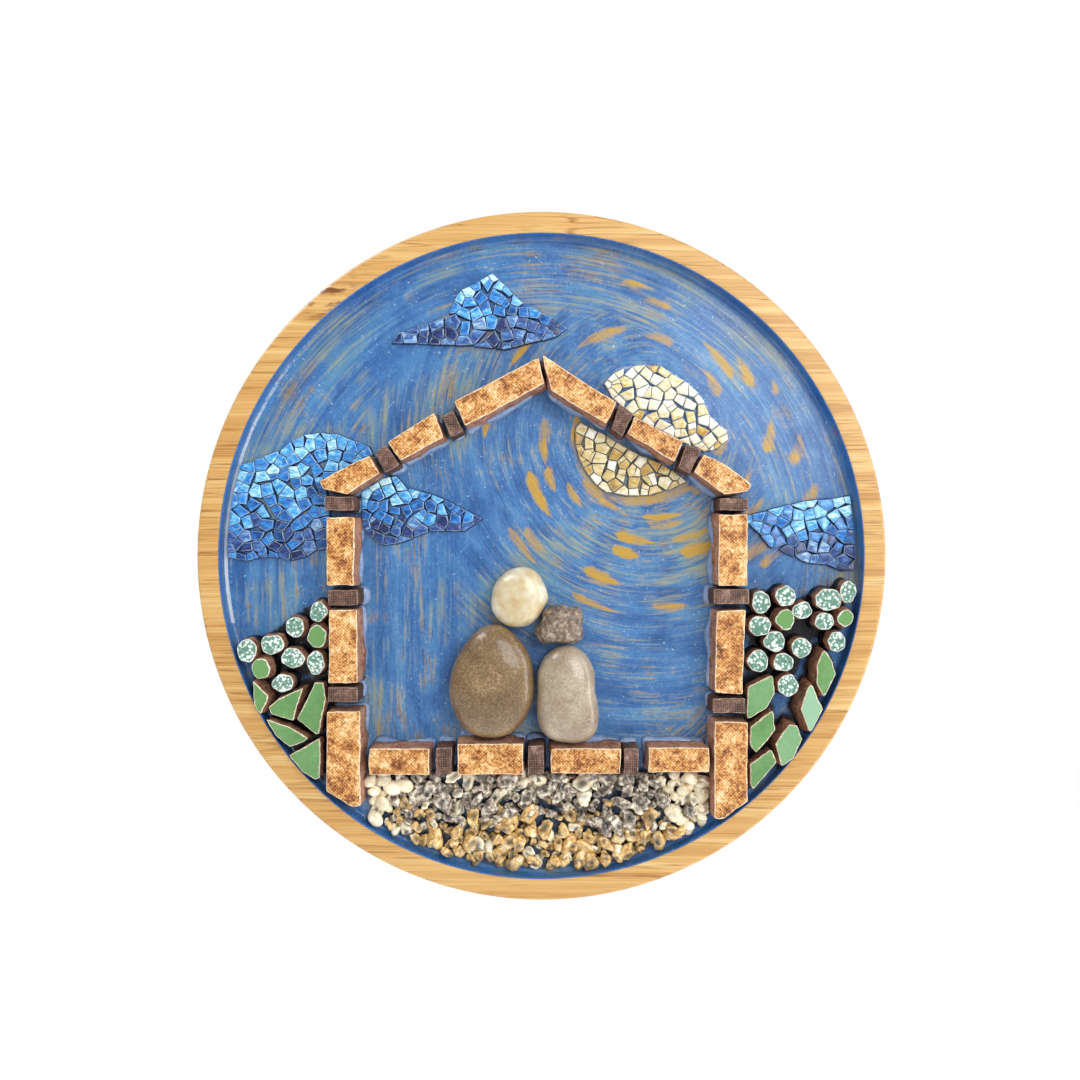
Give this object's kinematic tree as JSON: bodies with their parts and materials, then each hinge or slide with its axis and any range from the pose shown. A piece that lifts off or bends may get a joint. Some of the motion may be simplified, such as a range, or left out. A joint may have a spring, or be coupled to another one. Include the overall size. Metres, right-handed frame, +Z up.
{
  "type": "mosaic panel",
  "caption": "Round bamboo tray wall plaque with a mosaic of a tile-strip house, a pebble couple, tile bushes, eggshell clouds and sun, and gravel.",
  "frame": {"origin": "centre of the flat round back face, where the panel rests on the wall", "axes": "+Z up, +Y into the wall (the decorated face looks along -Y), +X to the viewer's right"},
  "size_m": [0.22, 0.0208, 0.22],
  "materials": {
    "bamboo": "satin lacquered bamboo, fine grain",
    "sky_paint": "brushed acrylic paint with a satin varnish",
    "ochre_paint": "dry-brushed acrylic paint",
    "brick_tile": "mottled tan glaze, chipped arrises",
    "spacer_tile": "unglazed brown clay with a ribbed face",
    "leaf_tile": "gloss green glaze, terracotta sides",
    "berry_tile": "gloss green glaze with white speckle",
    "adhesive": "dark tile adhesive",
    "clear_glue": "clear set glue",
    "pebble_brown": "varnished beach pebble",
    "pebble_beige": "varnished beach pebble",
    "pebble_cream": "varnished quartz pebble",
    "pebble_grey": "varnished coarse pebble",
    "blue_shell": "eggshell painted blue and varnished",
    "yellow_shell": "eggshell painted pale yellow and varnished",
    "gravel": "varnished fine gravel and shell"
  },
  "bodies": {
    "root": {"bamboo_tray": "bamboo", "berries_left": "berry_tile", "berries_right": "berry_tile", "brick_left_wall_foot": "brick_tile", "brick_left_wall_middle": "brick_tile", "brick_left_wall_top": "brick_tile", "brick_right_wall_foot": "brick_tile", "brick_right_wall_middle": "brick_tile", "brick_right_wall_top": "brick_tile", "brick_roof_left_eave": "brick_tile", "brick_roof_left_middle": "brick_tile", "brick_roof_left_ridge": "brick_tile", "brick_roof_right_eave": "brick_tile", "brick_roof_right_middle": "brick_tile", "brick_roof_right_ridge": "brick_tile", "brick_sill_1": "brick_tile", "brick_sill_2": "brick_tile", "brick_sill_3": "brick_tile", "brick_sill_4": "brick_tile", "cloud_left_inner": "blue_shell", "cloud_left_outer": "blue_shell", "cloud_right": "blue_shell", "cloud_top": "blue_shell", "gravel_bank": "gravel", "leaf_left_1": "leaf_tile", "leaf_left_2": "leaf_tile", "leaf_left_3": "leaf_tile", "leaf_left_4": "leaf_tile", "leaf_left_5": "leaf_tile", "leaf_right_1": "leaf_tile", "leaf_right_2": "leaf_tile", "leaf_right_3": "leaf_tile", "leaf_right_4": "leaf_tile", "leaf_right_5": "leaf_tile", "leaf_right_6": "leaf_tile", "pebble_body_beige": "pebble_beige", "pebble_body_brown": "pebble_brown", "pebble_head_cream": "pebble_cream", "pebble_head_grey": "pebble_grey", "spacer_left_eave": "spacer_tile", "spacer_left_wall_lower": "spacer_tile", "spacer_left_wall_upper": "spacer_tile", "spacer_right_eave": "spacer_tile", "spacer_right_wall_lower": "spacer_tile", "spacer_right_wall_upper": "spacer_tile", "spacer_roof_left_lower": "spacer_tile", "spacer_roof_left_upper": "spacer_tile", "spacer_roof_right_lower": "spacer_tile", "spacer_roof_right_upper": "spacer_tile", "spacer_sill_1": "spacer_tile", "spacer_sill_2": "spacer_tile", "spacer_sill_3": "spacer_tile", "sun_lower": "yellow_shell", "sun_upper": "yellow_shell"}
  },
  "joints": []
}
